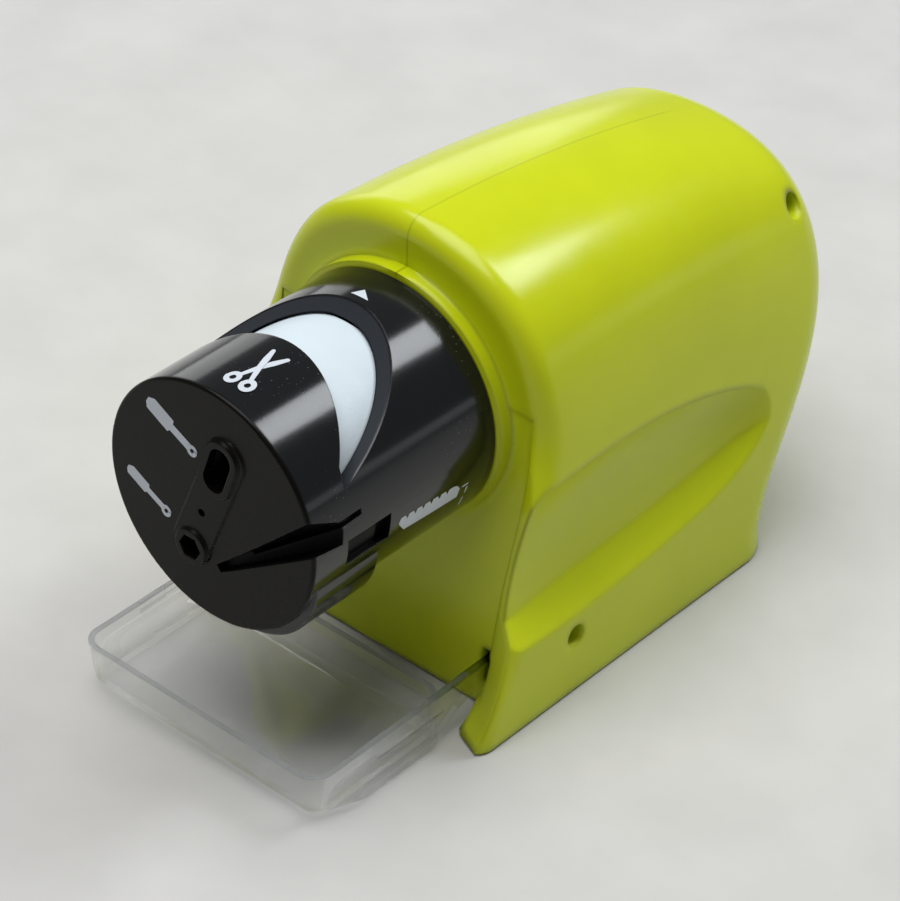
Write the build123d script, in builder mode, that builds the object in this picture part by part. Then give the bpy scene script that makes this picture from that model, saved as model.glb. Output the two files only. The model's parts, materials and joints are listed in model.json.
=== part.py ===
"""Cordless motor-driven sharpener for knives, scissors and screwdrivers.

Millimetres.  +Z is up, the table is z = 0, -Y is the front (the black sharpening head) and +X is the
right-hand side.  The motor, the grinding wheel and the head share one axis along Y at axis_z.
"""
import os
from math import cos, radians, sin, tan

from build123d import *

os.makedirs("parts", exist_ok=True)

# ---- driving dimensions -------------------------------------------------------------------------
axis_z = 62.0               # height of the shared motor, wheel and head axis above the table
front_y = -80.4             # front face of the head; the origin is under the middle of the object
wall = 2.4                  # moulded wall of the housing
foot_height = 0.6           # the rubber feet hold the housing this far off the table
running_gap = 0.05          # radial clearance of shafts and turning rings
loose_gap = 0.4             # clearance round parts that only pass through an opening

head_radius = 28.0
head_length = 54.0
head_bore = 25.5
cap_thickness = 11.0        # solid front of the head, in front of the grinding wheel
spigot_radius = 26.9        # rear of the head, held in the housing's collar
spigot_length = 6.0

wheel_radius = 25.0
wheel_front = 12.0          # distances behind the head's front face
wheel_rear = 40.0
hub_radius = 9.0
shaft_radius = 1.6

bevel_front = 57.5          # flat front face of the housing, round the head
base_front = 33.0           # front of the side cheeks where they meet the table
collar_radius = 29.3

cell_radius = 7.1           # four AA cells
cell_length = 49.3
cell_pitch = 15.1
cell_z = 11.6
cell_front = 77.0

tray_half_width = 34.0
tray_rim_z = 12.0
tray_floor_z = 1.0
tray_wall = 1.4
tray_rear = 34.5
tray_front = -5.6


def along(distance):
    """Y position of a point that lies this far behind the head's front face."""
    return front_y + distance


def across(distance):
    """Upright plane this far behind the head's front face; sketch X is +X and sketch Y is up."""
    return Plane.XZ.offset(-along(distance))


def save(piece, name):
    """Label a finished piece and write it as its own STEP file."""
    piece.part.label = name
    export_step(piece.part, f"parts/{name}.step")


def disc(start, end, radius, mode=Mode.ADD):
    """Add a disc or rod on the motor axis between two distances, or cut it as a bore."""
    with BuildSketch(across(start)) as face:
        with Locations((0, axis_z)):
            Circle(radius)
    extrude(face.sketch, amount=start - end, mode=mode)


def bore(start, end, radius):
    """Cut a round hole on the motor axis between two distances."""
    disc(start, end, radius, Mode.SUBTRACT)


def lengthways(x, height, radius, start, end, mode=Mode.ADD):
    """Add or cut a round bar that runs front to back between two distances."""
    with BuildSketch(across(start)) as circle:
        with Locations((x, height)):
            Circle(radius)
    extrude(circle.sketch, amount=start - end, mode=mode)


def crossways(distance, height, radius, low_x, high_x, mode=Mode.ADD):
    """Add or cut a round bar that runs across the housing between two X positions."""
    with BuildSketch(Plane.YZ.offset(low_x)) as circle:
        with Locations((along(distance), height)):
            Circle(radius)
    extrude(circle.sketch, amount=high_x - low_x, mode=mode)


def block(low, high, mode=Mode.ADD):
    """Add or cut a box between two corners given as x, distance and height."""
    size = [b - a for a, b in zip(low, high)]
    middle = [(a + b) / 2 for a, b in zip(low, high)]
    with Locations((middle[0], along(middle[1]), middle[2])):
        Box(*size, mode=mode)


def cut_box(low, high):
    """Cut a box between two corners given as x, distance and height."""
    block(low, high, Mode.SUBTRACT)


def sector(distance, inner, outer, start, sweep):
    """Part of a ring round the motor axis, as a sketch; degrees run up from +X."""
    with BuildSketch(across(distance)) as face:
        with BuildLine():
            rim = CenterArc((0, axis_z), outer, start, sweep)
            root = CenterArc((0, axis_z), inner, start, sweep)
            Line(rim @ 0, root @ 0)
            Line(rim @ 1, root @ 1)
        make_face()
    return face.sketch


# ---- housing ------------------------------------------------------------------------------------
# Cross-sections of the vault: distance, half width at the foot, half width at axis height, rise of
# the crown above the axis.
vault_stations = (
    (31.0, 44.4, 40.2, 40.3),
    (90.0, 44.4, 39.6, 38.2),
    (165.0, 45.1, 34.2, 22.5),
)
# Plan outlines of the domed rear: height, distance of its middle, how far its corners hang back.
rear_outlines = (
    (foot_height, 140.2, 6.9),
    (25.0, 150.1, 10.1),
    (axis_z, 163.9, 7.2),
    (86.0, 158.1, 19.1),
    (112.0, 119.7, 39.5),
)
rear_fillet = 12.0
rear_corner_x = 44.0
beyond = 70.0               # any distance clear outside the housing

# Plan outlines of the recess under the head.  Its sides run straight forward from the back wall, turn
# out at the throat and splay to the front corners.  Height, then distances of the back wall, the
# throat and the front corner.
recess_outlines = (
    (-1.0, 47.0, 34.9, 32.9),
    (7.0, 47.6, 44.2, 35.6),
    (18.0, 49.0, 47.6, 41.2),
    (36.0, 53.5, 51.5, 45.2),
    (56.0, 57.5, 56.4, 50.6),
    (70.0, 57.9, 57.7, 57.3),
)
recess_half_width = 34.8
throat_turn = 1.5           # the sides turn out over this much width
recess_corner_x = 45.0
# A finger grip is hollowed in both sides.  Its sections: distance, then x and height of the deepest
# line, then x and height of the crease along its top.
grip_sections = (
    (25.0, 37.4, 26.4, 40.7, 56.5),
    (60.0, 37.5, 26.4, 40.5, 56.0),
    (90.0, 37.6, 28.0, 39.9, 55.4),
    (108.0, 38.0, 30.0, 39.0, 52.2),
    (120.0, 39.0, 32.5, 39.2, 48.4),
    (133.0, 44.2, 37.5, 44.0, 41.5),
)
grip_ramp = 42.0            # degrees; slope of the floor below the deepest line
grip_outside = 62.0         # any x clear outside the housing
edge_radius = 4.5           # rounding of the front edges of the housing


def vault_sections(inset):
    """Cross-sections of the housing's vaulted block, shrunk by inset."""
    sections = []
    for distance, foot, width, rise in vault_stations:
        half = width - inset
        top = rise - inset
        with BuildSketch(across(distance)) as section:
            with BuildLine():
                arch = Spline(
                    (foot - inset, foot_height + inset),
                    (half, axis_z),
                    (0.71 * half, axis_z + 0.71 * top),
                    (0, axis_z + top),
                    (-0.71 * half, axis_z + 0.71 * top),
                    (-half, axis_z),
                    (inset - foot, foot_height + inset),
                    tangents=((-0.03, 1), (-0.03, -1)),
                )
                Line(arch @ 1, arch @ 0)
            make_face()
        sections.append(section.sketch)
    return sections


def rear_sections(inset):
    """Plan outlines of the space in front of the domed rear."""
    sections = []
    for height, middle, hang in rear_outlines:
        corner_y = along(middle - hang - inset)
        with BuildSketch(Plane.XY.offset(height)) as section:
            with BuildLine():
                back = ThreePointArc(
                    (rear_corner_x, corner_y),
                    (0, along(middle - inset)),
                    (-rear_corner_x, corner_y),
                )
                Polyline(
                    back @ 1,
                    (-beyond, corner_y),
                    (-beyond, along(0)),
                    (beyond, along(0)),
                    (beyond, corner_y),
                    back @ 0,
                )
            make_face()
        sections.append(section.sketch)
    return sections


def side_profile(inset):
    """Everything behind the front outline of the cheeks, which swings forward towards the table."""
    with BuildSketch(Plane.YZ) as profile:
        with BuildLine():
            edge = Spline(
                (along(base_front + inset), 0),
                (along(43.2 + inset), 23),
                (along(47.0 + inset), 44),
                (along(bevel_front + inset), 70),
                tangents=((0.1, 1), (0, 1)),
            )
            Polyline(
                edge @ 1,
                (along(bevel_front + inset), 120),
                (along(170), 120),
                (along(170), 0),
                edge @ 0,
            )
        make_face()
    return profile.sketch


def recess_sections(inset):
    """Plan outlines of the recess under the head; its sides splay out to the front corners."""
    sections = []
    side_x = recess_half_width + inset
    turn_x = side_x + throat_turn
    for height, back, throat, corner in recess_outlines:
        half = (
            (side_x, along(back + inset)),
            (side_x, along(throat + 0.6 * inset)),
            (turn_x, along(throat - throat_turn + 0.8 * inset)),
            (recess_corner_x, along(corner + inset)),
            (recess_corner_x, along(10)),
        )
        mirrored = [(-x, y) for x, y in reversed(half)]
        with BuildSketch(Plane.XY.offset(height)) as section:
            with BuildLine():
                Polyline(*half, *mirrored, close=True)
            make_face()
        sections.append(section.sketch)
    return sections


def hollow_grips(inset):
    """Hollow a long finger grip along each side; it closes in a rounded end towards the rear."""
    sections = []
    for distance, deep_x, deep_z, crease_x, crease_z in grip_sections:
        deep = Vector(deep_x - inset, deep_z)
        crease = Vector(crease_x - inset, crease_z)
        chord = crease - deep
        middle = deep + chord * 0.55 - Vector(0.06 * chord.Y, 0)
        ramp_end = deep + Vector(12, -12 * tan(radians(grip_ramp)))
        with BuildSketch(across(distance)) as section:
            with BuildLine():
                flank = ThreePointArc(deep, middle, crease)
                lead_out = flank % 1
                top = crease + Vector(lead_out.X, lead_out.Z) * 8
                Polyline(
                    crease,
                    top,
                    (grip_outside, top.Y),
                    (grip_outside, ramp_end.Y),
                    ramp_end,
                    deep,
                )
            make_face()
        sections.append(section.sketch)
    with BuildPart() as grip:
        loft(sections)
    add(grip.part, mode=Mode.SUBTRACT)
    add(grip.part.mirror(Plane.YZ), mode=Mode.SUBTRACT)


def housing_block(inset):
    """The housing's solid shape, shrunk by inset on every side."""
    with BuildPart() as rear_space:
        loft(rear_sections(inset))
    with BuildPart() as solid:
        loft(vault_sections(inset))
        add(rear_space.part, mode=Mode.INTERSECT)
        extrude(side_profile(inset), amount=beyond, both=True, mode=Mode.INTERSECT)
        rear_edges = solid.edges().filter_by(
            lambda edge: edge.center().Y > along(108) and edge.center().Z > 20
        )
        fillet(rear_edges, rear_fillet - inset)
        front_edges = solid.edges().filter_by(
            lambda edge: edge.center().Y < along(64) and edge.center().Z > 5
        )
        fillet(front_edges, edge_radius - inset)
        loft(recess_sections(inset), mode=Mode.SUBTRACT)
        hollow_grips(inset)
    return solid


outer_block = housing_block(0)
inner_block = housing_block(wall)

# Two screws clamp the right shell to the left one: distance, height and seat of the head.
screw_places = ((64.2, 15.2, 30.0), (151.0, 75.6, 23.0))
screw_head_radius = 2.3
screw_recess_radius = 2.6
screw_shank_radius = 1.4
boss_radius = 4.7

seat_tube_radius = 30.5     # tube behind the front wall that guides the head
seat_tube_end = 64.0
slot_low_z = 5.4            # slots that the tray's rails slide into
slot_high_z = 14.6
slot_inner_x = 31.6
slot_outer_x = 36.2

door_half_width = 29.0
door_front = 76.0
door_rear = 130.0
door_thickness = 2.0
button_z = 65.0
button_radius = 7.0
switch_shelf_z = button_z - 8
foot_places = ((34.0, 60.0), (-34.0, 60.0), (34.0, 122.0), (-34.0, 122.0))
foot_radius = 4.5
foot_recess = 0.6


with BuildPart() as inner_bars:
    for distance, height, _ in screw_places:
        crossways(distance, height, boss_radius, -beyond, beyond)
    block((-beyond, 140, switch_shelf_z - 2), (beyond, 147, switch_shelf_z))
    disc(bevel_front + 1, seat_tube_end, seat_tube_radius)
    add(outer_block.part, mode=Mode.INTERSECT)

with BuildPart() as housing:
    add(outer_block.part)
    add(inner_block.part, mode=Mode.SUBTRACT)
    add(inner_bars.part)
    disc(54.3, bevel_front + wall, collar_radius)
    bore(45, 54.3, head_radius + loose_gap)
    bore(50, seat_tube_end, spigot_radius + running_gap)
    for side in (1, -1):
        slot_sides = sorted((side * slot_inner_x, side * slot_outer_x))
        cut_box((slot_sides[0], 40, slot_low_z), (slot_sides[1], 56, slot_high_z))
    cut_box((-door_half_width, door_front, -1), (door_half_width, door_rear, 4))
    with BuildSketch(Plane.XZ.offset(-along(140))) as button_hole:
        with Locations((0, button_z)):
            Circle(button_radius + loose_gap)
    extrude(button_hole.sketch, amount=-40, mode=Mode.SUBTRACT)
    for x, distance in foot_places:
        with BuildSketch(Plane.XY) as foot_seat:
            with Locations((x, along(distance))):
                Circle(foot_radius)
        extrude(foot_seat.sketch, amount=foot_height + foot_recess, mode=Mode.SUBTRACT)

with BuildPart() as right_shell:
    add(housing.part)
    split(bisect_by=Plane.YZ, keep=Keep.TOP)
    for distance, height, seat in screw_places:
        crossways(distance, height, screw_recess_radius, seat, beyond, Mode.SUBTRACT)
        crossways(distance, height, screw_shank_radius + 0.2, -1, seat, Mode.SUBTRACT)
save(right_shell, "right_shell")

with BuildPart() as left_shell:
    add(housing.part)
    split(bisect_by=Plane.YZ, keep=Keep.BOTTOM)
    for distance, height, _ in screw_places:
        crossways(distance, height, screw_shank_radius, -12, 1, Mode.SUBTRACT)
save(left_shell, "left_shell")

with BuildPart() as shell_screws:
    for distance, height, seat in screw_places:
        crossways(distance, height, screw_head_radius, seat, seat + 2)
        crossways(distance, height, screw_shank_radius, -11, seat)
        cut_box((seat + 1.2, distance - 1.6, height - 0.3), (seat + 3, distance + 1.6, height + 0.3))
        cut_box((seat + 1.2, distance - 0.3, height - 1.6), (seat + 3, distance + 0.3, height + 1.6))
save(shell_screws, "shell_screws")

with BuildPart() as foot_pads:
    for x, distance in foot_places:
        with BuildSketch(Plane.XY) as foot:
            with Locations((x, along(distance))):
                Circle(foot_radius)
        extrude(foot.sketch, amount=foot_height + foot_recess)
save(foot_pads, "foot_pads")

# ---- battery compartment ------------------------------------------------------------------------
box_half_width = 31.6
box_floor_z = foot_height + wall
box_top_z = 20.8
box_wall = 1.4
nub_length = 1.2
contact_thickness = 0.5
contact_gap = 3.0           # between a contact plate and the end of a cell
cell_rear = cell_front + nub_length + cell_length
box_front = cell_front - contact_gap - contact_thickness - box_wall
box_rear = cell_rear + contact_gap + contact_thickness + box_wall
tab_top_z = 23.0            # solder tabs of the two outer rear contacts
cell_places = [cell_pitch * (number - 1.5) for number in range(4)]

with BuildPart() as battery_door:
    with BuildSketch(Plane.XY.offset(foot_height)) as plate:
        with Locations((0, along((door_front + door_rear) / 2))):
            RectangleRounded(2 * (door_half_width - 0.3), door_rear - door_front - 0.6, 2)
    extrude(plate.sketch, amount=door_thickness)
    with Locations((0, along(door_front + 8), foot_height)):
        with GridLocations(0, 3, 1, 3):
            Box(22, 1.2, 1.2, mode=Mode.SUBTRACT)
    fillet(battery_door.edges().group_by(Axis.Z)[-1], 0.4)
save(battery_door, "battery_door")

with BuildPart() as battery_box:
    with BuildSketch(Plane.XY.offset(box_floor_z)) as box_outline:
        with Locations((0, along((box_front + box_rear) / 2))):
            RectangleRounded(2 * box_half_width, box_rear - box_front, 2)
    extrude(box_outline.sketch, amount=box_top_z - box_floor_z)
    cut_box((box_wall - box_half_width, box_front + box_wall, 0),
            (box_half_width - box_wall, box_rear - box_wall, box_top_z - box_wall))
    for x in (cell_places[0], cell_places[3]):
        cut_box((x - 2, box_rear - box_wall - contact_thickness, box_top_z - 2),
                (x + 2, box_rear - box_wall, box_top_z))
save(battery_box, "battery_box")

# Neighbouring cells lie head to tail: the first and third have their nub in front.
for number, x in enumerate(cell_places):
    nub_in_front = number % 2 == 0
    start = cell_front + nub_length if nub_in_front else cell_front
    end = start + cell_length
    with BuildPart() as cell:
        lengthways(x, cell_z, cell_radius, start, end)
        fillet(cell.edges().filter_by(GeomType.CIRCLE), 0.6)
        if nub_in_front:
            lengthways(x, cell_z, 2.6, start - nub_length, start + 0.5)
        else:
            lengthways(x, cell_z, 2.6, end - 0.5, end + nub_length)
    save(cell, f"cell_{number + 1}")

with BuildPart() as battery_springs:
    for number, x in enumerate(cell_places):
        start = cell_rear + 0.5 if number % 2 == 0 else cell_front - contact_gap + 0.5
        with BuildLine() as coil:
            Helix(1.0, contact_gap - 1, 3.8, center=(x, along(start), cell_z), direction=(0, 1, 0))
        with BuildSketch(Plane(coil.line @ 0, z_dir=coil.line % 0)) as wire_end:
            Circle(0.4)
        sweep(wire_end.sketch, path=coil.line, is_frenet=True)
save(battery_springs, "battery_springs")


def contact(start, middles, width, dimples, dimple_start, dimple_end):
    """Contact plates of one end of the compartment, with a dimple for each cell's nub."""
    for middle in middles:
        block((middle - width / 2, start, cell_z - 5.5),
              (middle + width / 2, start + contact_thickness, cell_z + 5.5))
    for x in dimples:
        lengthways(x, cell_z, 2.2, dimple_start, dimple_end)


pair_width = cell_pitch + 11    # a plate that links two neighbouring cells
with BuildPart() as contact_front:
    plate_rear = cell_front - contact_gap
    contact(plate_rear - contact_thickness, (-cell_pitch, cell_pitch), pair_width,
            (cell_places[0], cell_places[2]), plate_rear, cell_front)
save(contact_front, "contact_front")

with BuildPart() as contact_rear:
    plate_front = cell_rear + contact_gap
    contact(plate_front, (0,), pair_width, (cell_places[1],), cell_rear, plate_front)
    contact(plate_front, (cell_places[0], cell_places[3]), 11, (cell_places[3],), cell_rear,
            plate_front)
    for x in (cell_places[0], cell_places[3]):
        block((x - 1.8, plate_front, cell_z), (x + 1.8, plate_front + contact_thickness, tab_top_z))
save(contact_rear, "contact_rear")

# ---- sharpening head ----------------------------------------------------------------------------
tip_x, tip_z = 2.0, -14.2       # where the knife slot starts on the face, from the head's axis
rim_x, rim_z = 27.5, 5.0        # where it runs out through the rim
driver_slot = (3.1, 10.8)       # screwdriver slot and hexagonal hole, right of and above the axis
driver_slot_angle = 72
hex_hole = (-4.7, -12.2)
hex_radius = 2.95


def slot_section(distance, front_low, front_high, floor_low, floor_high, depth):
    """Upright section of the knife slot, this far from its tip along the slot."""
    run = Vector(rim_x - tip_x, 0, rim_z - tip_z).normalized()
    origin = Vector(tip_x, front_y, axis_z + tip_z) + run * distance
    with BuildSketch(Plane(origin, x_dir=(0, 1, 0), z_dir=run)) as section:
        with BuildLine():
            Polyline(
                (-2, front_high),
                (depth, floor_high),
                (depth, floor_low),
                (-2, front_low),
                close=True,
            )
        make_face()
    return section.sketch


with BuildPart() as head_shell:
    disc(0, head_length, head_radius)
    fillet(head_shell.edges().group_by(Axis.Y)[0], 0.7)
    disc(head_length, head_length + spigot_length, spigot_radius)
    # bulging lip round the lower slot
    lip_angle = radians(-50)
    with BuildSketch(across(2)) as lip:
        with Locations((10.2 * cos(lip_angle), axis_z + 10.2 * sin(lip_angle))):
            Circle(20.1)
    extrude(lip.sketch, amount=-19)
    fillet(head_shell.edges().filter_by(GeomType.CIRCLE).filter_by(
        lambda edge: abs(edge.radius - 20.1) < 0.01), 0.8)
    bore(cap_thickness, head_length + spigot_length, head_bore)
    # raised panel with the two screwdriver holes
    with BuildSketch(across(0)) as panel:
        with Locations(Location((-0.1, axis_z + 1.1), 68.5)):
            SlotOverall(37, 10.0)
    extrude(panel.sketch, amount=0.5, taper=35)
    with BuildSketch(across(-0.5)) as rims:
        with Locations(Location((driver_slot[0], axis_z + driver_slot[1]), driver_slot_angle)):
            SlotOverall(15.2, 9.4)
        with Locations((hex_hole[0], axis_z + hex_hole[1])):
            Circle(4.5)
    extrude(rims.sketch, amount=0.7, taper=35)
    with BuildSketch(across(-3)) as holes:
        with Locations(Location((driver_slot[0], axis_z + driver_slot[1]), driver_slot_angle)):
            SlotOverall(11.5, 5.6)
        with Locations((hex_hole[0], axis_z + hex_hole[1])):
            RegularPolygon(hex_radius, 6)
    extrude(holes.sketch, amount=-(cap_thickness + 4), mode=Mode.SUBTRACT)
    with BuildSketch(across(-1)) as pin_hole:
        with Locations((-1.9, axis_z - 2.4)):
            Circle(0.9)
    extrude(pin_hole.sketch, amount=-3, mode=Mode.SUBTRACT)
    # scissors opening: a wedge across the top that bares the wheel
    with BuildSketch(Plane.YZ) as opening:
        with BuildLine():
            rear_side = ThreePointArc(
                (along(11.0), axis_z + 11.0),
                (along(30.5), axis_z + 19.9),
                (along(43.6), axis_z + 28.8),
            )
            Polyline(
                rear_side @ 1,
                (along(43.6), axis_z + 34),
                (along(23.4), axis_z + 34),
                (along(23.4), axis_z + 28.6),
                (along(12.0), axis_z + 15.2),
                rear_side @ 0,
            )
        make_face()
    extrude(opening.sketch, amount=40, both=True, mode=Mode.SUBTRACT)
    # knife slot: a leaning wedge from the face out through the rim
    loft([slot_section(0, -1.4, 0.6, -1.2, 0.5, 2.0), slot_section(38, -2.9, 5.6, -4.6, 0.5, 10.2)],
         mode=Mode.SUBTRACT)
    loft([slot_section(8, -0.5, 0.5, 0.0, 0.9, 13.0), slot_section(38, -0.9, 0.9, -0.4, 0.9, 14.5)],
         mode=Mode.SUBTRACT)
    extrude(sector(10, 26.6, 34, -12, 13), amount=-12.5, mode=Mode.SUBTRACT)
    extrude(sector(19.5, 25.8, 34, -12, 13), amount=-3, mode=Mode.SUBTRACT)
    # narrow slot for serrated blades, low on the side
    extrude(sector(8, 23, 34, -46, 6), amount=-19, mode=Mode.SUBTRACT)
save(head_shell, "head_shell")

# The head turns with this ring until its three tabs leave the bayonet, then pulls off forwards.
with BuildPart() as head_ring:
    disc(60.2, 63.2, spigot_radius)
    bore(60, 64, 22.5)
    for start in (20, 140, 260):
        extrude(sector(57, 24.0, 25.2, start, 22), amount=-3.4)
save(head_ring, "head_ring")

# ---- grinding wheel and motor -------------------------------------------------------------------
hub_flange_radius = 21.0
hub_sleeve_end = 48.0
shaft_end = 105.4
can_front = 66.0
can_rear = 104.0
can_radius = 13.8
can_wall = 0.8
motor_screw_x = 8.0

with BuildPart() as grinding_wheel:
    disc(wheel_front, wheel_rear, wheel_radius)
    chamfer(grinding_wheel.edges(), 1)
    bore(wheel_front, wheel_rear, hub_radius)
save(grinding_wheel, "grinding_wheel")

with BuildPart() as wheel_hub:
    disc(13, wheel_rear, hub_radius)
    disc(wheel_rear, wheel_rear + 2.2, hub_flange_radius)
    disc(wheel_rear + 2.2, hub_sleeve_end, 5)
    bore(13, 16, 5)
    bore(16, 22, 1.3)
    bore(22, hub_sleeve_end, shaft_radius)
save(wheel_hub, "wheel_hub")

with BuildPart() as hub_screw:
    disc(14.2, 16, 3.4)
    disc(16, 21.6, 1.25)
    cut_box((-2.4, 13, axis_z - 0.4), (2.4, 15, axis_z + 0.4))
    cut_box((-0.4, 13, axis_z - 2.4), (0.4, 15, axis_z + 2.4))
save(hub_screw, "hub_screw")

with BuildPart() as rotor_shaft:
    disc(22, shaft_end, shaft_radius)
    chamfer(rotor_shaft.edges(), 0.3)
save(rotor_shaft, "rotor_shaft")

with BuildPart() as armature:
    for turn in range(3):
        extrude(sector(72, 6.5, 9.5, 120 * turn + 32, 116), amount=-22)
        extrude(sector(72, 3, 7, 120 * turn + 80, 20), amount=-22)
    disc(72, 94, 3.6)
    bore(72, 94, shaft_radius)
save(armature, "armature")

with BuildPart() as armature_windings:
    for turn in range(3):
        extrude(sector(71, 4.0, 6.2, 120 * turn + 42, 96), amount=-24)
    add(armature.part, mode=Mode.SUBTRACT)
save(armature_windings, "armature_windings")

with BuildPart() as commutator:
    disc(97, 101, 3)
    bore(97, 101, shaft_radius)
save(commutator, "commutator")

with BuildPart() as motor_can:
    disc(can_front, can_rear, can_radius)
    disc(can_front - 2, can_front, 5)
    bore(can_front + can_wall, can_rear, can_radius - can_wall)
    bore(can_front - 2, can_front + can_wall, shaft_radius + running_gap)
save(motor_can, "motor_can")

with BuildPart() as motor_magnets:
    for start in (25, 205):
        extrude(sector(70, 10.2, can_radius - can_wall, start, 130), amount=-28)
save(motor_magnets, "motor_magnets")

with BuildPart() as motor_end_cap:
    disc(can_rear, can_rear + 2.5, can_radius)
    disc(can_rear - 1.5, can_rear, can_radius - can_wall)
    bore(can_rear - 2, can_rear + 1.8, shaft_radius + running_gap)
save(motor_end_cap, "motor_end_cap")

with BuildPart() as motor_brushes:
    for side in (1, -1):
        block((side * 3.9 - 0.6, 97.4, axis_z - 1.2), (side * 3.9 + 0.6, 102.5, axis_z + 1.2))
save(motor_brushes, "motor_brushes")

terminal_x = 9.0
with BuildPart() as motor_terminals:
    for side in (1, -1):
        block((side * terminal_x - 0.3, 106.5, axis_z - 1.6),
              (side * terminal_x + 0.3, 111, axis_z + 1.6))
save(motor_terminals, "motor_terminals")

with BuildPart() as motor_bracket:
    with BuildSketch(across(64)) as plate:
        with Locations((0, axis_z)):
            RectangleRounded(56, 40, 5)
            Circle(5, mode=Mode.SUBTRACT)
            with Locations((motor_screw_x, 0), (-motor_screw_x, 0)):
                Circle(1.3, mode=Mode.SUBTRACT)
    extrude(plate.sketch, amount=-2)
save(motor_bracket, "motor_bracket")

with BuildPart() as motor_screws:
    for x in (motor_screw_x, -motor_screw_x):
        lengthways(x, axis_z, 2.3, 62.8, 64)
        lengthways(x, axis_z, 1.2, 64, 66)
save(motor_screws, "motor_screws")

# ---- push button and switch ---------------------------------------------------------------------
button_front = 158.8
button_rear = 166.4
button_travel = 2.5
stem_radius = 2.0
switch_front = 138.5
switch_rear = 151.0
spring_radius = 3.5
spring_wire = 0.7
spring_pitch = 1.9


def button_disc(start, end, radius, mode=Mode.ADD):
    """Add or cut a disc on the push button's own axis."""
    lengthways(0, button_z, radius, start, end, mode)


with BuildPart() as push_button:
    button_disc(button_front, button_rear, button_radius)
    fillet(push_button.edges().group_by(Axis.Y)[-1], 1)
    button_disc(button_front, button_front + 1.2, button_radius + 1.3)
    button_disc(switch_rear - 1, button_front, stem_radius)
save(push_button, "push_button")

with BuildPart() as button_spring:
    with BuildLine() as coil:
        Helix(spring_pitch, button_front - switch_rear - spring_wire - 0.2, spring_radius,
              center=(0, along(switch_rear) + spring_wire / 2 + 0.1, button_z), direction=(0, 1, 0))
    with BuildSketch(Plane(coil.line @ 0, z_dir=coil.line % 0)) as wire_end:
        Circle(spring_wire / 2)
    sweep(wire_end.sketch, path=coil.line, is_frenet=True)
save(button_spring, "button_spring")

with BuildPart() as switch_body:
    block((-6.5, switch_front, button_z - 6), (6.5, switch_rear, button_z + 4.4))
    button_disc(switch_rear - 4, switch_rear, stem_radius + loose_gap, Mode.SUBTRACT)
save(switch_body, "switch_body")

with BuildPart() as switch_holder:
    block((-12, switch_front - 1.6, button_z - 8), (12, switch_front, button_z + 4.4))
    block((-12, switch_front - 1.6, button_z - 8), (12, switch_rear, button_z - 6))
save(switch_holder, "switch_holder")

with BuildPart() as switch_terminals:
    for x in (-3.5, 3.5):
        block((x - 1, switch_front - 5, button_z - 0.3), (x + 1, switch_front - 1.6, button_z + 0.3))
save(switch_terminals, "switch_terminals")

# ---- wiring ------------------------------------------------------------------------------------
wire_radius = 0.8


def wire(name, *points):
    """Insulated wire through points given as x, distance and height."""
    route = [(x, along(distance), height) for x, distance, height in points]
    with BuildPart() as strand:
        with BuildLine() as path:
            FilletPolyline(*route, radius=5)
        with BuildSketch(Plane(path.line @ 0, z_dir=path.line % 0)) as wire_end:
            Circle(wire_radius)
        sweep(wire_end.sketch, path=path.line)
    save(strand, name)


tab_distance = cell_rear + contact_gap + contact_thickness / 2
wire("wire_black", (cell_places[0], tab_distance, tab_top_z), (cell_places[0], tab_distance, 46),
     (-terminal_x, 124, axis_z), (-terminal_x, 111, axis_z))
wire("wire_red", (cell_places[3], tab_distance, tab_top_z), (cell_places[3], tab_distance, 42),
     (-3.5, tab_distance, 46), (-3.5, 134.5, 56), (-3.5, 134.5, button_z - 0.3))
wire("wire_link", (3.5, switch_front - 5, button_z), (3.5, 124, button_z), (terminal_x, 120, axis_z),
     (terminal_x, 111, axis_z))

# ---- swarf tray ---------------------------------------------------------------------------------
tray_draft = 8.0            # the tray's walls lean out by this many degrees
bulge = 1.7                 # the side walls swell this far past the rim
rail_inner_x = 32.4
rail_end = 58.0

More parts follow.
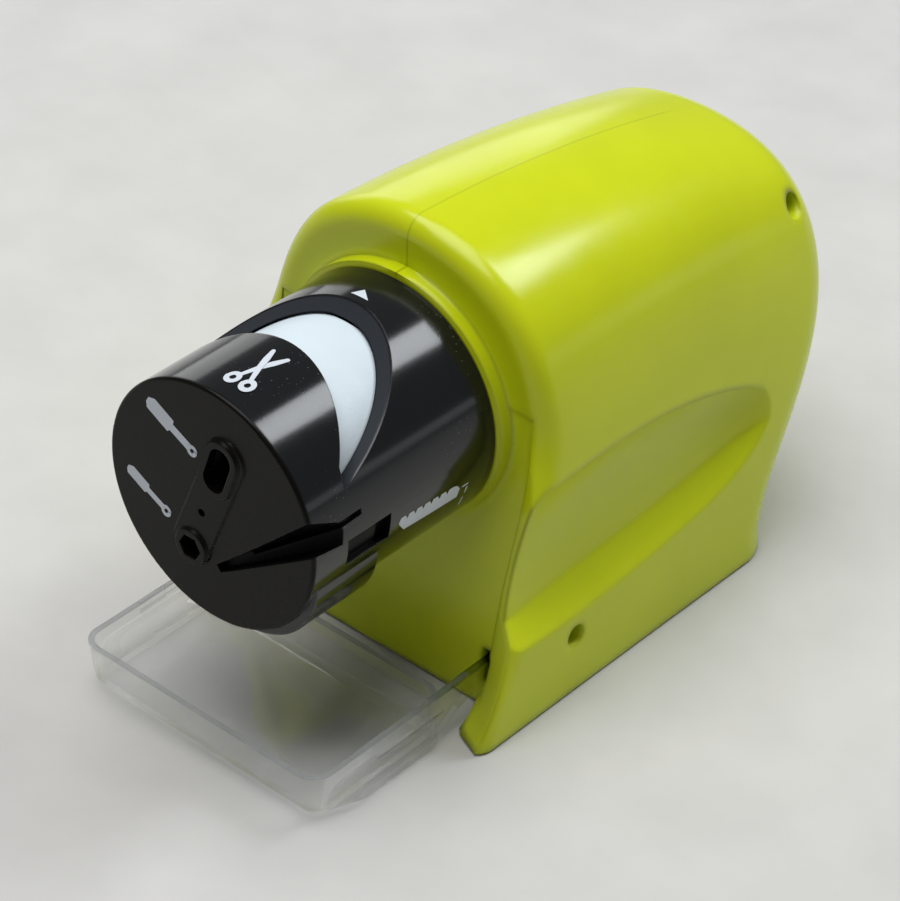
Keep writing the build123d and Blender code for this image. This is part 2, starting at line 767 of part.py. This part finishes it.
with BuildPart() as catch_tray:
    with BuildSketch(Plane.XY.offset(tray_rim_z)) as rim:
        with Locations((0, along((tray_front + tray_rear) / 2))):
            RectangleRounded(2 * tray_half_width, tray_rear - tray_front, 5)
    extrude(rim.sketch, amount=tray_floor_z - tray_rim_z, taper=tray_draft)
    fillet(catch_tray.edges().group_by(Axis.Z)[0], 2.5)
    for side in (1, -1):
        with BuildSketch(Plane.YZ.offset(side * tray_half_width)) as rail:
            with BuildLine():
                Polyline(
                    (along(20), 1.4),
                    (along(31), 1.4),
                    (along(35), 2.6),
                    (along(38.5), 5.2),
                    (along(42), 6.4),
                    (along(rail_end), 6.4),
                    (along(rail_end), tray_rim_z + 0.6),
                    (along(40), tray_rim_z + 0.6),
                    (along(30), tray_rim_z),
                    (along(20), tray_rim_z),
                    close=True,
                )
            make_face()
        extrude(rail.sketch, amount=-side * (tray_half_width - rail_inner_x))
        rib = sorted((side * (tray_half_width - 1), side * (tray_half_width + 0.5)))
        block((rib[0], 13, 7.8), (rib[1], 33, 8.8))
        # the side walls bulge outwards low down
        with BuildSketch(Plane.YZ.offset(side * (tray_half_width - 1.5))) as root:
            with Locations((along(15.5), 5.4)):
                RectangleRounded(35, 8.8, 3)
        with BuildSketch(Plane.YZ.offset(side * (tray_half_width + bulge))) as crown:
            with Locations((along(18), 3.4)):
                RectangleRounded(24, 4.4, 2)
        loft([root.sketch, crown.sketch])
    with BuildSketch(Plane.XY.offset(tray_rim_z)) as hollow:
        with Locations((0, along((tray_front + tray_rear) / 2))):
            RectangleRounded(
                2 * (tray_half_width - tray_wall), tray_rear - tray_front - 2 * tray_wall, 3.6
            )
    extrude(hollow.sketch, amount=tray_floor_z + tray_wall - tray_rim_z, taper=tray_draft,
            mode=Mode.SUBTRACT)
save(catch_tray, "catch_tray")
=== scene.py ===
"""Cordless sharpener for knives, scissors and screwdrivers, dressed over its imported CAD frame.

Metres.  +Z is up, -Y is the front with the black sharpening head, +X is the right-hand side.
"""
import json
from math import cos, pi, radians, sin

import bmesh
import bpy
from mathutils import Matrix, Vector


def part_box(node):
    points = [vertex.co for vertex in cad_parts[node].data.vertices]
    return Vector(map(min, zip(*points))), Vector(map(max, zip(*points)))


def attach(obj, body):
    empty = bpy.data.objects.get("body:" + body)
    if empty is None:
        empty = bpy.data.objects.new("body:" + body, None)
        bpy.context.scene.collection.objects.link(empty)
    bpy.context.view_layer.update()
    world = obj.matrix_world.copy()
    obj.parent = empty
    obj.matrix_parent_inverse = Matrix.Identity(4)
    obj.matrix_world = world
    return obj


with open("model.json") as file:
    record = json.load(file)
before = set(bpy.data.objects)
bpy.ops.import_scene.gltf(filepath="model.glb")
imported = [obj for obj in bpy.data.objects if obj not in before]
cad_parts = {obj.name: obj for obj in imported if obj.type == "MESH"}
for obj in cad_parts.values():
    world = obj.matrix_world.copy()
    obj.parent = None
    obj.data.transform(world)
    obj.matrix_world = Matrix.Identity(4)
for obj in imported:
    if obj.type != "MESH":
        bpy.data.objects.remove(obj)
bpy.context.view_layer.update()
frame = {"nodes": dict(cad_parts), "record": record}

mm = 0.001
axis_z = 0.062                      # height of the drum's axis
hole_rim_height = 0.0012            # the rims of the screwdriver holes stand this far off the face
front_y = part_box("head_shell")[0].y + hole_rim_height      # the drum's flat face
drum_radius = 0.028

bpy.context.scene.view_settings.view_transform = "Standard"

# ---- camera -------------------------------------------------------------------------------------
camera_place = Vector((0.3982, -0.4811, 0.4940))
camera_azimuth = radians(40.04)
camera_elevation = radians(36.48)
camera_roll = radians(2.02)
lens_mm = 143.4
sensor_mm = 36.0


def add_camera():
    """Camera at the photographed angle."""
    camera = bpy.data.objects.new("camera", bpy.data.cameras.new("camera"))
    bpy.context.scene.collection.objects.link(camera)
    camera.data.sensor_fit = "HORIZONTAL"
    camera.data.sensor_width = sensor_mm
    camera.data.lens = lens_mm
    camera.data.clip_start = 0.01
    level = Vector((cos(camera_azimuth), sin(camera_azimuth), 0))
    back = Vector((
        sin(camera_azimuth) * cos(camera_elevation),
        -cos(camera_azimuth) * cos(camera_elevation),
        sin(camera_elevation),
    ))
    lift = back.cross(level)
    right = level * cos(camera_roll) + lift * sin(camera_roll)
    up = lift * cos(camera_roll) - level * sin(camera_roll)
    turn = Matrix((right, up, back)).transposed().to_4x4()
    camera.matrix_world = Matrix.Translation(camera_place) @ turn
    bpy.context.scene.camera = camera


add_camera()

# ---- materials ----------------------------------------------------------------------------------
bevel_samples = 6
joint_margin = (0.0015, 0.005)      # edges are softened fully only this far from the mid-plane
joint_line = (0.00018, 0.00034)     # the joint's dark line fades out between these distances from it
plastic_ior = 1.5
face_zone = (0.0006, 0.0012)        # behind the drum's face: its matt finish ends between these
wall_zone = (0.0008, 0.0016)        # and the matt walls of the openings begin between these
skin_zone = (0.0005, 0.0002)        # under the drum's side: the walls end between these
over_wheel_zone = (0.008, 0.012)    # above the axis: the paler wall round the wheel begins, replacing the painted shade lower down
wheel_shade_zone = (0.004, 0.018)          # above the axis: the painted shade on the wheel's lower part fades out
tray_rim_zone = (0.0009, 0.0005)    # under the tray's rim: its painted grey-blue shade begins
seam_fade = (0.050, 0.060)          # behind the face: the joint grows faint past the front edge


class Recipe:
    """A node material under construction around one Principled shader."""

    def __init__(self, name):
        self.material = bpy.data.materials.new(name)
        self.material.use_nodes = True
        self.tree = self.material.node_tree
        self.tree.nodes.clear()
        self.shader = self.tree.nodes.new("ShaderNodeBsdfPrincipled")
        output = self.tree.nodes.new("ShaderNodeOutputMaterial")
        self.join(self.shader.outputs[0], output.inputs[0])
        self.place = self.tree.nodes.new("ShaderNodeTexCoord").outputs["Object"]

    def join(self, source, target):
        self.tree.links.new(source, target)

    def put(self, socket, value):
        """Link a socket, or set it to a plain value."""
        if isinstance(value, bpy.types.NodeSocket):
            self.join(value, socket)
        else:
            socket.default_value = value

    def set(self, **values):
        """Set the shader's own sockets by their names, with spaces written as underscores."""
        for name, value in values.items():
            self.put(self.shader.inputs[name.replace("_", " ")], value)

    def math(self, kind, first, second=0.0):
        """One sum, product or the like of sockets or numbers."""
        node = self.tree.nodes.new("ShaderNodeMath")
        node.operation = kind
        self.put(node.inputs[0], first)
        self.put(node.inputs[1], second)
        return node.outputs[0]

    def noise(self, scale, detail=2.0, stretch=(1, 1, 1)):
        """Noise from 0 to 1, its scale in features per metre."""
        mapping = self.tree.nodes.new("ShaderNodeMapping")
        mapping.inputs["Scale"].default_value = stretch
        self.join(self.place, mapping.inputs["Vector"])
        node = self.tree.nodes.new("ShaderNodeTexNoise")
        node.inputs["Scale"].default_value = scale
        node.inputs["Detail"].default_value = detail
        self.join(mapping.outputs[0], node.inputs["Vector"])
        return node.outputs["Fac"]

    def ramp(self, source, low, high, start=0.0, end=1.0):
        """Map a value between low and high to a value between start and end, clamped."""
        node = self.tree.nodes.new("ShaderNodeMapRange")
        self.join(source, node.inputs["Value"])
        for name, value in (("From Min", low), ("From Max", high), ("To Min", start),
                            ("To Max", end)):
            node.inputs[name].default_value = value
        return node.outputs[0]

    def blend(self, share, first, second, kind="RGBA"):
        """Mix two colours, or two vectors."""
        node = self.tree.nodes.new("ShaderNodeMix")
        node.data_type = kind
        self.put(node.inputs["Factor"], share)
        self.put(node.inputs["A"], first)
        self.put(node.inputs["B"], second)
        return node.outputs["Result"]

    def bump(self, height, strength, distance, edge=0.0):
        """Surface relief, with sharp edges softened over a radius of edge."""
        node = self.tree.nodes.new("ShaderNodeBump")
        node.inputs["Strength"].default_value = strength
        node.inputs["Distance"].default_value = distance
        self.join(height, node.inputs["Height"])
        if edge:
            soft = self.tree.nodes.new("ShaderNodeBevel")
            soft.samples = bevel_samples
            soft.inputs["Radius"].default_value = edge
            self.join(self.away_from_joint(soft.outputs[0]), node.inputs["Normal"])
        self.join(node.outputs[0], self.shader.inputs["Normal"])

    def away_from_joint(self, soft_normal):
        """The softened normal, left out beside the mid-plane where the housing's halves meet."""
        x, _, _ = self.axes()
        plain_normal = self.tree.nodes.new("ShaderNodeNewGeometry").outputs["Normal"]
        share = self.ramp(self.math("ABSOLUTE", x), *joint_margin)
        return self.blend(share, plain_normal, soft_normal, kind="VECTOR")

    def axes(self):
        """The x, y and z coordinates, in metres."""
        node = self.tree.nodes.new("ShaderNodeSeparateXYZ")
        self.join(self.place, node.inputs[0])
        return node.outputs

    def drum_distance(self):
        """Distance from the drum's axis."""
        x, _, z = self.axes()
        height = self.math("SUBTRACT", z, axis_z)
        return self.math("SQRT", self.math(
            "ADD", self.math("MULTIPLY", x, x), self.math("MULTIPLY", height, height)))

    def specks(self, scale, size):
        """Scattered dust specks: 1 on a speck, 0 between."""
        cells = self.tree.nodes.new("ShaderNodeTexVoronoi")
        cells.inputs["Scale"].default_value = scale
        cells.inputs["Randomness"].default_value = 1.0
        self.join(self.place, cells.inputs["Vector"])
        near = self.ramp(cells.outputs["Distance"], size * 0.6, size, 1.0, 0.0)
        patchy = self.ramp(self.noise(60), 0.5, 0.62)
        return self.math("MULTIPLY", near, patchy)


def rgb(red, green, blue):
    """An opaque colour in linear light."""
    return (red, green, blue, 1.0)


def shade(colour, factor):
    """A colour made lighter or darker by a factor."""
    return tuple(min(1.0, part * factor) for part in colour[:3]) + (1.0,)


def moulded(name, colour, rough, dust=0.0, grain=0.05, edge=0.0):
    """Injection-moulded plastic: faint flow mottling, uneven gloss, fine surface waviness."""
    recipe = Recipe(name)
    mottle = recipe.ramp(recipe.noise(38, 3), 0.3, 0.7)
    tint = recipe.blend(mottle, shade(colour, 0.96), shade(colour, 1.04))
    gloss = recipe.ramp(recipe.noise(160, 4), 0.3, 0.7, rough * 0.85, rough * 1.2)
    if dust:
        speck = recipe.math("MULTIPLY", recipe.specks(900, 0.16), dust)
        tint = recipe.blend(speck, tint, rgb(0.55, 0.55, 0.55))
    recipe.tint, recipe.gloss = tint, gloss
    recipe.set(Base_Color=tint, Roughness=gloss, IOR=plastic_ior)
    recipe.bump(recipe.noise(1400, 2), grain, 0.0002, edge)
    return recipe


def housing_plastic():
    """Lime plastic of the two shells; their joint shows most on the rounded front edge."""
    recipe = moulded("lime_plastic", rgb(0.55, 0.62, 0.006), 0.2, grain=0.015, edge=0.0025)
    recipe.set(Specular_IOR_Level=0.38)
    x, y, z = recipe.axes()
    joint = recipe.ramp(recipe.math("ABSOLUTE", x), *joint_line, 1.0, 0.0)
    over_head = recipe.ramp(z, axis_z + drum_radius, axis_z + drum_radius + 0.001)
    towards_front = recipe.ramp(y, *(front_y + depth for depth in seam_fade), 0.85, 0.22)
    seam = recipe.math("MULTIPLY", joint, recipe.math("MULTIPLY", over_head, towards_front))
    recipe.set(Base_Color=recipe.blend(seam, recipe.tint, rgb(0.17, 0.21, 0.0)))
    return recipe


def head_plastic():
    """Black plastic of the head: polished drum, matt face, matt walls in its openings, with painted
    shade making the walls near-black in the knife slot and holes.
    """
    recipe = moulded("head_black", rgb(0.006, 0.0065, 0.0075), 0.15, dust=0.15, edge=0.0004)
    recipe.set(Specular_IOR_Level=0.13, Coat_Roughness=0.12)
    inside = recipe.ramp(
        recipe.drum_distance(), *(drum_radius - depth for depth in skin_zone), 1.0, 0.0)
    _, y, z = recipe.axes()
    behind_face = recipe.ramp(y, *(front_y + depth for depth in wall_zone))
    wall = recipe.math("MULTIPLY", inside, behind_face)
    over_wheel = recipe.ramp(z, *(axis_z + height for height in over_wheel_zone))
    face = recipe.ramp(y, *(front_y + depth for depth in face_zone), 1.0, 0.0)
    # painted shade: below the wheel the walls of the openings are coloured near-black, darker than
    # the plastic, where shade falls in the slot and holes
    wall_shade_and_ring_colour = recipe.blend(over_wheel, rgb(0.002, 0.002, 0.002), rgb(0.018, 0.022, 0.028))
    tint = recipe.blend(face, recipe.tint, rgb(0.0035, 0.003, 0.0022))
    matt = recipe.math("MAXIMUM", face, wall)
    recipe.set(
        Base_Color=recipe.blend(wall, tint, wall_shade_and_ring_colour),
        Coat_Weight=recipe.ramp(matt, 0.0, 1.0, 0.6, 0.0),
        Roughness=recipe.math("ADD", recipe.gloss, recipe.math(
            "ADD", recipe.math("MULTIPLY", face, 0.12), recipe.math("MULTIPLY", wall, 0.3))),
    )
    return recipe


def tray_plastic():
    """Clear polystyrene that lets light through to what lies below, with a painted grey-blue shade
    along its rim.
    """
    recipe = moulded("clear_plastic", rgb(0.96, 0.98, 0.985), 0.03, grain=0.02)
    _, _, z = recipe.axes()
    rim_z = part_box("catch_tray")[1].z
    # painted shade: the rim is tinted grey-blue and made less clear, standing in for the wall's look
    # when seen edge-on
    painted_rim_shade = recipe.ramp(z, *(rim_z - depth for depth in tray_rim_zone))
    recipe.set(
        Base_Color=recipe.blend(painted_rim_shade, recipe.tint, rgb(0.10, 0.15, 0.18)),
        Alpha=recipe.ramp(painted_rim_shade, 0.0, 1.0, 0.32, 0.75),
        Transmission_Weight=1.0,
    )
    return recipe


def wheel_abrasive():
    """White bonded abrasive, with painted shade greying it towards its lower part."""
    recipe = moulded("white_abrasive", rgb(0.60, 0.68, 0.73), 0.5, grain=0.15)
    _, _, z = recipe.axes()
    # painted shade: the wheel's lower part is coloured grey where shade falls on it
    painted_lower_shade = recipe.ramp(z, *(axis_z + height for height in wheel_shade_zone), 0.95, 0.0)
    recipe.set(Base_Color=recipe.blend(painted_lower_shade, recipe.tint, rgb(0.26, 0.27, 0.26)))
    return recipe


def metal(name, colour, rough, brushed=(1, 1, 1)):
    """Plated or bare metal with fine brushing and slight staining."""
    recipe = Recipe(name)
    stain = recipe.ramp(recipe.noise(120, 4), 0.35, 0.75)
    recipe.set(
        Base_Color=recipe.blend(stain, shade(colour, 1.05), shade(colour, 0.8)),
        Roughness=recipe.ramp(recipe.noise(2200, 2, brushed), 0.3, 0.7, rough * 0.7, rough * 1.3),
        Metallic=1.0,
    )
    recipe.bump(recipe.noise(2600, 2, brushed), 0.05, 0.0001)
    return recipe


finish = {
    "housing": housing_plastic(),
    "head_plastic": head_plastic(),
    "black_plastic": moulded("matt_black", rgb(0.02, 0.02, 0.02), 0.45),
    "grey_plastic": moulded("grey_plastic", rgb(0.30, 0.31, 0.32), 0.45),
    "button_plastic": moulded("button_black", rgb(0.018, 0.018, 0.018), 0.3),
    "abrasive": wheel_abrasive(),
    "foot_rubber": moulded("foot_rubber", rgb(0.03, 0.03, 0.03), 0.8, grain=0.3),
    "cell_jacket": moulded("cell_jacket", rgb(0.05, 0.09, 0.16), 0.3),
    "wire_black": moulded("wire_black", rgb(0.015, 0.015, 0.015), 0.45),
    "wire_red": moulded("wire_red", rgb(0.45, 0.02, 0.02), 0.45),
    "wire_blue": moulded("wire_blue", rgb(0.03, 0.08, 0.40), 0.45),
    "clear_plastic": tray_plastic(),
    "screw_steel": metal("zinc_steel", rgb(0.55, 0.56, 0.58), 0.3),
    "nickel_steel": metal("nickel_steel", rgb(0.66, 0.65, 0.61), 0.25),
    "core_steel": metal("sheet_steel", rgb(0.36, 0.37, 0.39), 0.4),
    "magnet": moulded("ferrite", rgb(0.03, 0.03, 0.033), 0.6, grain=0.2),
    "copper": metal("copper", rgb(0.72, 0.33, 0.16), 0.3),
}
for part in frame["record"]["subparts"]:
    node = frame["nodes"][part["node"]]
    node.data.materials.clear()
    node.data.materials.append(finish[part["material_slot"]].material)

# ---- printed signs ------------------------------------------------------------------------------
print_lift = 0.00003
layer_step = 0.000006               # each outline of a sign lies this far above the one before it


def on_face(x, z, layer):
    """A point of the drum's flat face, from millimetres right of and above its axis."""
    return Vector((x * mm, front_y - print_lift - layer * layer_step, axis_z + z * mm))


def on_drum(angle, distance, layer):
    """A point of the drum's side: degrees up from +X and millimetres behind the face."""
    turn = radians(angle)
    radius = drum_radius + print_lift + layer * layer_step
    return Vector((radius * cos(turn), front_y + distance * mm, axis_z + radius * sin(turn)))


def stroke(points, widths):
    """Outline of a line through flat points, with a width at each and rounded ends."""
    points = [Vector(point) for point in points]
    last = len(points) - 1
    runs = [(points[min(i + 1, last)] - points[max(i - 1, 0)]).normalized() * width / 2
            for i, width in enumerate(widths)]
    sides = [Vector((-run.y, run.x)) for run in runs]

    def rounded(point, side, outward):
        """Three points of the half circle from the side round to its opposite."""
        return [point + side * cos(turn) + outward * sin(turn)
                for turn in (pi / 4, pi / 2, 3 * pi / 4)]

    start = rounded(points[0], sides[0], -runs[0])
    end = rounded(points[-1], sides[-1], runs[-1])
    left = [point + side for point, side in zip(points, sides)]
    right = [point - side for point, side in zip(points, sides)]
    return start[::-1] + left + end + right[::-1]


ring_count = 20


def ring(centre, outer, inner, stretch=1.0):
    """Quads of a flat ring, stretched along its second direction."""
    cx, cy = centre
    quads = []
    for i in range(ring_count):
        a, b = 2 * pi * i / ring_count, 2 * pi * (i + 1) / ring_count
        quads.append([
            Vector((cx + outer * cos(a), cy + stretch * outer * sin(a))),
            Vector((cx + outer * cos(b), cy + stretch * outer * sin(b))),
            Vector((cx + inner * cos(b), cy + stretch * inner * sin(b))),
            Vector((cx + inner * cos(a), cy + stretch * inner * sin(a))),
        ])
    return quads


ink = moulded("white_ink", rgb(0.58, 0.62, 0.68), 0.5, grain=0.1)


def printed(name, outlines, place):
    """A printed sign: flat outlines laid on the head by place, a hair thick."""
    mesh = bmesh.new()
    for layer, outline in enumerate(outlines):
        patch = bmesh.new()
        patch.faces.new([patch.verts.new((p[0], p[1], 0)) for p in outline])
        bmesh.ops.triangulate(patch, faces=patch.faces[:])
        bmesh.ops.subdivide_edges(patch, edges=patch.edges[:], cuts=2, use_grid_fill=True)
        for vertex in patch.verts:
            vertex.co = place(vertex.co.x, vertex.co.y, layer)
        flat = bpy.data.meshes.new(name)
        patch.to_mesh(flat)
        patch.free()
        mesh.from_mesh(flat)
        bpy.data.meshes.remove(flat)
    data = bpy.data.meshes.new(name)
    mesh.to_mesh(data)
    mesh.free()
    data.materials.append(ink.material)
    sign = bpy.data.objects.new(name, data)
    bpy.context.scene.collection.objects.link(sign)
    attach(sign, "head")


def knife_sign(tip, end, blade_width, heel_share):
    """Outlines of a knife from its tip to its handle's end: a blade, a narrower handle, a ring."""
    tip, end = Vector(tip), Vector(end)
    length = (end - tip).length
    run = (end - tip) / length
    side = Vector((run.y, -run.x))
    half = blade_width / 2
    heel = length * heel_share
    profile = [(0, -0.3 * half), (0, 0.4 * half), (0.4 * half, half), (heel, half),
               (heel + 0.3, 0.6 * half), (length - 1, 0.5 * half), (length - 1, -0.5 * half),
               (heel + 0.3, -0.4 * half), (heel, -0.85 * half), (0.7 * half, -0.85 * half)]
    outline = [tip + run * far + side * out for far, out in profile]
    return [outline, *ring(end, 1.4, 0.5)]


printed("sign_long_knife", knife_sign((-16.9, 17.9), (-4.7, 11.2), 4.1, 0.52), on_face)
printed("sign_short_knife", knife_sign((-23.0, -1.8), (-12.3, -7.6), 3.1, 0.5), on_face)
# the triangle is drawn in degrees round the drum and millimetres behind its face
printed("sign_triangle", [[(96.5, 44.2), (93.5, 46.8), (87.1, 44.3)]], on_drum)

# the scissors and the lock marks are drawn flat in millimetres, then wrapped round the drum
degrees_per_mm = 360 / (2 * pi * drum_radius / mm)


def wrapped(across, along_drum, layer):
    """A point of the drum's side, from millimetres round it and behind the face."""
    return on_drum(across * degrees_per_mm, along_drum, layer)


scissors_middle = 86.5 / degrees_per_mm
pivot = Vector((scissors_middle, 12.6))
scissors = []
for loop_across, point_across in ((1.5, -2.1), (-2.4, 1.8)):
    loop = Vector((scissors_middle + loop_across, 6.6))
    point = Vector((scissors_middle + point_across, 18.4))
    handle_end = loop + (pivot - loop).normalized() * 1.9
    scissors.append(stroke([handle_end, pivot, pivot.lerp(point, 0.5), point], [0.9, 1.2, 1.4, 0.9]))
    scissors += ring(loop, 1.6, 0.6, stretch=1.35)
printed("sign_scissors", scissors, wrapped)

# the serrated knife, drawn in degrees and millimetres: its back, its end, then tooth after tooth
tooth_count = 7
tooth_pitch = 2.45
serrated = [(-8.7, 25.3), (-13.8, 27.2), (-15.2, 35.5), (-16.2, 43.7), (-11.4, 44.0), (-8.6, 42.9)]
for tooth in reversed(range(tooth_count)):
    start = 25.2 + tooth_pitch * tooth
    edge = -5.6 - 0.35 * tooth
    serrated += [(edge, start + 0.75 * tooth_pitch), (edge, start + 0.2 * tooth_pitch),
                 (edge - 2.0, start)]
printed("sign_serrated_knife", [serrated], on_drum)

# the marks of the turn lock at the drum's rear edge
ticks = [stroke([(across / degrees_per_mm, low), (end / degrees_per_mm, high)], [0.5, 0.5])
         for across, low, end, high in ((-11.4, 44.9, -11.4, 46.4), (-13.5, 46.4, -16.5, 46.3),
                                        (-20.0, 46.2, -25.0, 46.2))]
printed("sign_ticks", ticks, wrapped)

# ---- stage --------------------------------------------------------------------------------------
floor_mesh = bpy.data.meshes.new("floor")
floor_mesh.from_pydata(
    [(-3, -3, 0), (3, -3, 0), (3, 3, 0), (-3, 3, 0)], [], [(0, 1, 2, 3)]
)
floor = bpy.data.objects.new("floor", floor_mesh)
bpy.context.scene.collection.objects.link(floor)
floor_look = moulded("pale_floor", rgb(0.59, 0.58, 0.56), 0.6)
floor_mesh.materials.append(floor_look.material)

world = bpy.data.worlds.new("studio")
bpy.context.scene.world = world
world.use_nodes = True
world.node_tree.nodes["Background"].inputs["Color"].default_value = (0.94, 0.97, 1.0, 1)
world.node_tree.nodes["Background"].inputs["Strength"].default_value = 0.19


def softbox(name, place, aim, size, power, colour=(1, 1, 1)):
    """A rectangular area light at place, aimed at a point."""
    light = bpy.data.lights.new(name, "AREA")
    light.shape = "RECTANGLE"
    light.size, light.size_y = size
    light.energy = power
    light.color = colour
    lamp = bpy.data.objects.new(name, light)
    bpy.context.scene.collection.objects.link(lamp)
    lamp.location = place
    lamp.rotation_euler = (Vector(aim) - Vector(place)).to_track_quat("-Z", "Y").to_euler()


softbox("window", (0.36, 0.86, 1.10), (0, 0, 0.05), (0.40, 0.5), 6.5, (0.93, 0.97, 1.0))
softbox("overhead", (-0.18, -0.1, 1.15), (0, 0, 0.05), (1.0, 0.9), 12.5)
softbox("left_backdrop", (-1.3, 0.9, 0.40), (0, 0, 0.06), (1.2, 0.6), 3)
softbox("right_horizon", (1.35, 1.1, 0.14), (0, 0, 0.06), (1.2, 0.16), 0.5, (0.9, 0.96, 1.0))
